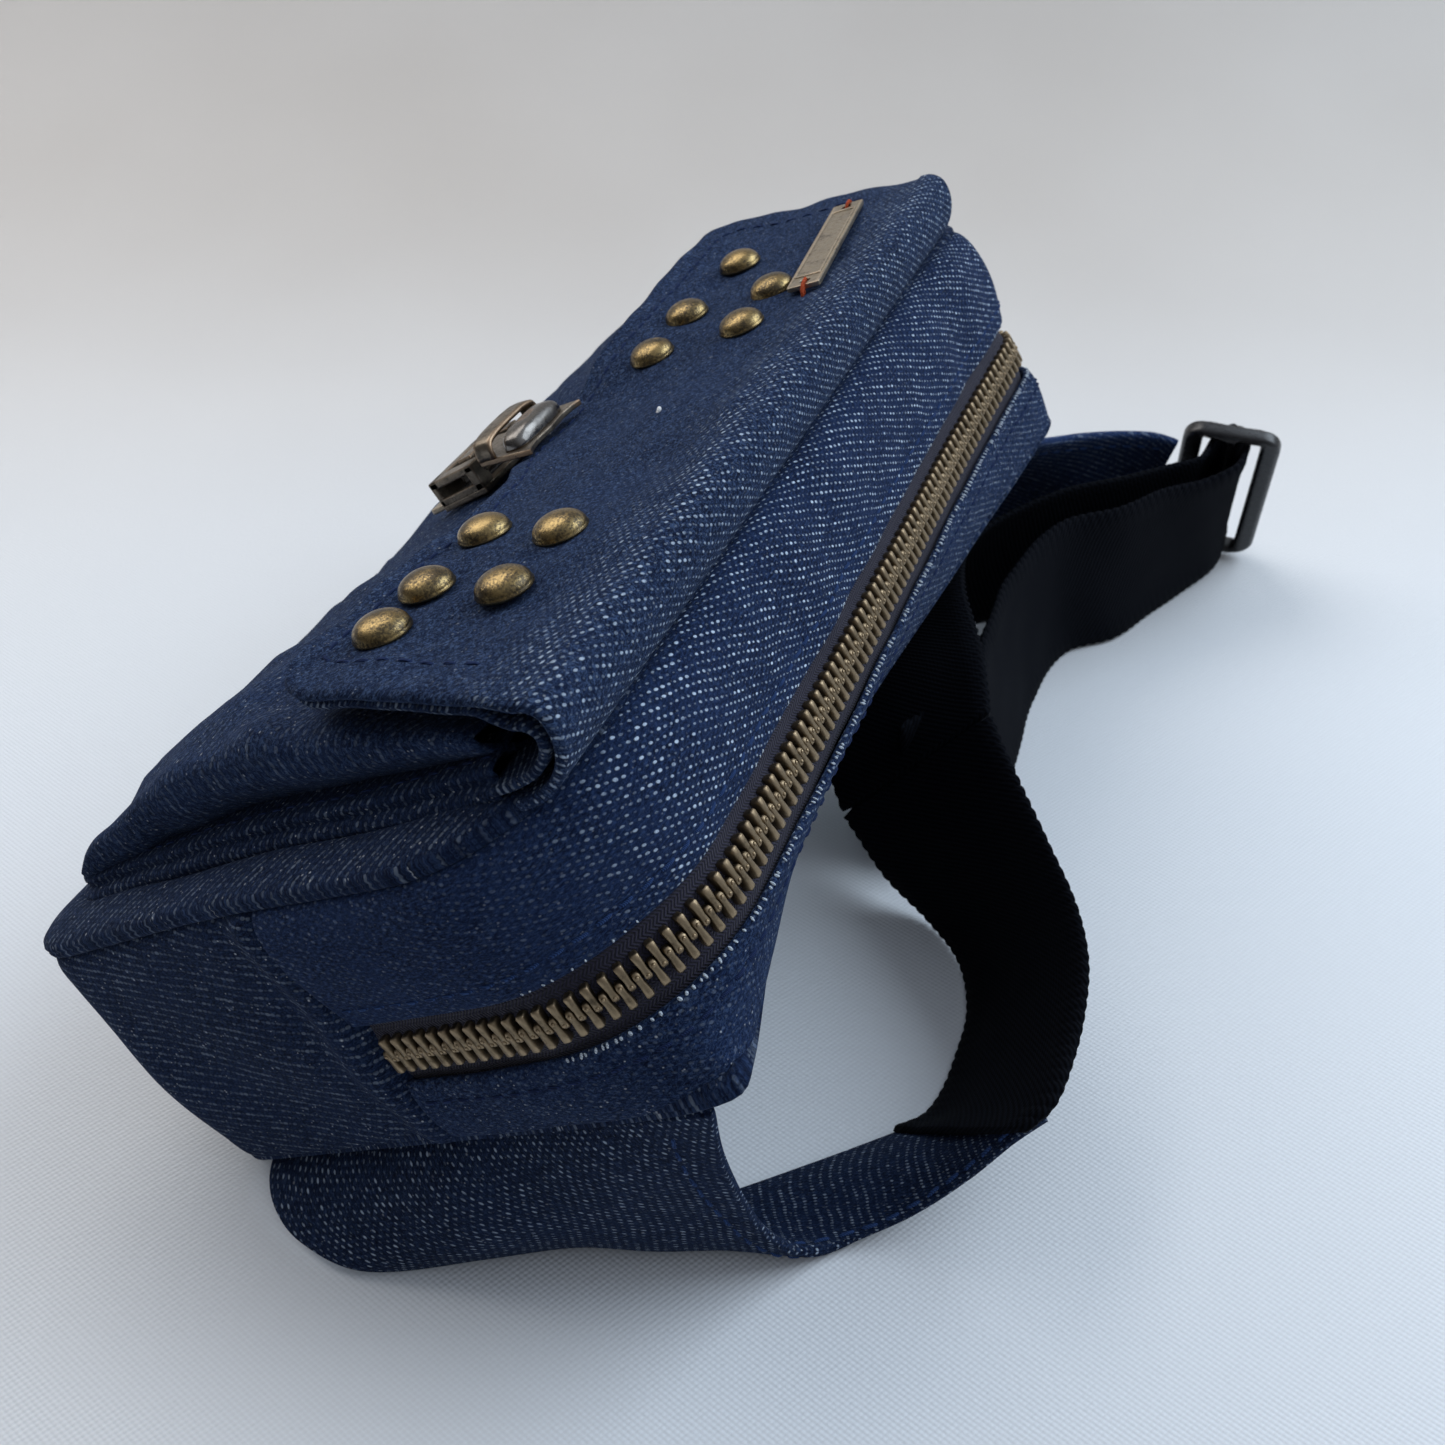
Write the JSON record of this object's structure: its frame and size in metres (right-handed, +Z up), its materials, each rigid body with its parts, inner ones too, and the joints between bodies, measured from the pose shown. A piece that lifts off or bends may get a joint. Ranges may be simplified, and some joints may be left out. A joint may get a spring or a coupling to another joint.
{
  "type": "waist pack",
  "caption": "Denim waist pack with a zipped main compartment, a studded bellows flap pocket closed by a small press lock, two side wings and an adjustable webbing belt.",
  "frame": {"origin": "middle of the whole object's bounding box, at floor level", "axes": "+X along the width of the bag, from the end seen nearest to the far end; +Y horizontal, away from the belt; +Z up. The bag leans back by 56 degrees about X, so its front panel and flap face up and towards +Y"},
  "size_m": [0.2746, 0.173, 0.1165],
  "materials": {
    "denim": "dark indigo twill denim, white weft flecks, matte, edges faded along the seams",
    "denim_dark": "dark indigo denim seen from inside, matte",
    "lining_cloth": "plain charcoal lining cloth and padding",
    "zip_tape": "plum-navy woven zip tape",
    "webbing": "black ribbed belt webbing, matte",
    "antique_brass": "antique brass, darkened in the recesses and rubbed bright on the crowns",
    "gunmetal": "gunmetal plating worn to copper on the edges",
    "thread": "orange-red sewing thread",
    "black_plastic": "moulded black plastic, satin to gloss"
  },
  "bodies": {
    "bag": {"back_panel": "denim", "back_pad": "lining_cloth", "front_panel": "denim", "bottom_gusset": "denim", "zip_panel_back": "denim", "zip_panel_front": "denim", "zip_tape_back": "zip_tape", "zip_tape_front": "zip_tape", "zip_teeth_back": "antique_brass", "zip_teeth_front": "antique_brass", "lining": "lining_cloth", "pocket_front": "denim", "pocket_gusset": "denim_dark", "pocket_binding": "denim", "flap_root": "denim", "lock_receiver": "gunmetal", "lock_spring": "gunmetal", "lock_base_tab": "gunmetal", "lock_back_plate": "gunmetal"},
    "flap": {"flap_outer": "denim", "flap_lining": "denim_dark", "stud_1": "antique_brass", "stud_2": "antique_brass", "stud_3": "antique_brass", "stud_4": "antique_brass", "stud_5": "antique_brass", "stud_6": "antique_brass", "stud_7": "antique_brass", "stud_8": "antique_brass", "stud_9": "antique_brass", "stud_10": "antique_brass", "name_plate": "antique_brass", "name_plate_thread_1": "thread", "name_plate_thread_2": "thread", "lock_catch_plate": "gunmetal", "lock_cabochon": "gunmetal", "lock_bridge": "gunmetal"},
    "zip_slider": {"zip_slider": "antique_brass"},
    "zip_pull_tab": {"zip_pull_tab": "antique_brass"},
    "release_button": {"lock_release_button": "gunmetal"},
    "near_belt": {"wing_near": "denim", "webbing_near": "webbing"},
    "far_belt": {"wing_far": "denim", "webbing_far": "webbing"},
    "adjuster": {"adjuster": "black_plastic"}
  },
  "joints": [
    {"name": "flap_hinge", "type": "hinge", "parent": "bag", "child": "flap", "pos_m": [-0.03057, -0.00457, 0.10983], "axis": [1, 0, 0], "range_deg": [0, 140]},
    {"name": "zip_slide", "type": "slide", "parent": "bag", "child": "zip_slider", "axis": [0, -0.829, 0.5592], "range_m": [0, 0.013]},
    {"name": "pull_tab_hinge", "type": "hinge", "parent": "zip_slider", "child": "zip_pull_tab", "pos_m": [0.07148, 0.01388, 0.05456], "axis": [0, -0.5592, -0.829], "range_deg": [0, 150]},
    {"name": "release_button_slide", "type": "slide", "parent": "bag", "child": "release_button", "axis": [0, 0.829, -0.5592], "range_m": [0, 0.0012], "stiffness_N_per_m": 300},
    {"name": "near_belt_hinge", "type": "hinge", "parent": "bag", "child": "near_belt", "pos_m": [-0.12882, 0.01303, 0.03221], "axis": [0, 0.829, -0.5592], "range_deg": [0, 35], "stiffness_Nm_per_rad": 0.15},
    {"name": "far_belt_hinge", "type": "hinge", "parent": "bag", "child": "far_belt", "pos_m": [0.06768, 0.01303, 0.03221], "axis": [0, -0.829, 0.5592], "range_deg": [0, 35], "stiffness_Nm_per_rad": 0.15},
    {"name": "adjuster_tilt", "type": "hinge", "parent": "far_belt", "child": "adjuster", "pos_m": [0.12168, -0.07411, 0.02334], "axis": [-0.3573, 0, 0.934], "range_deg": [-5, 5], "stiffness_Nm_per_rad": 0.01}
  ]
}
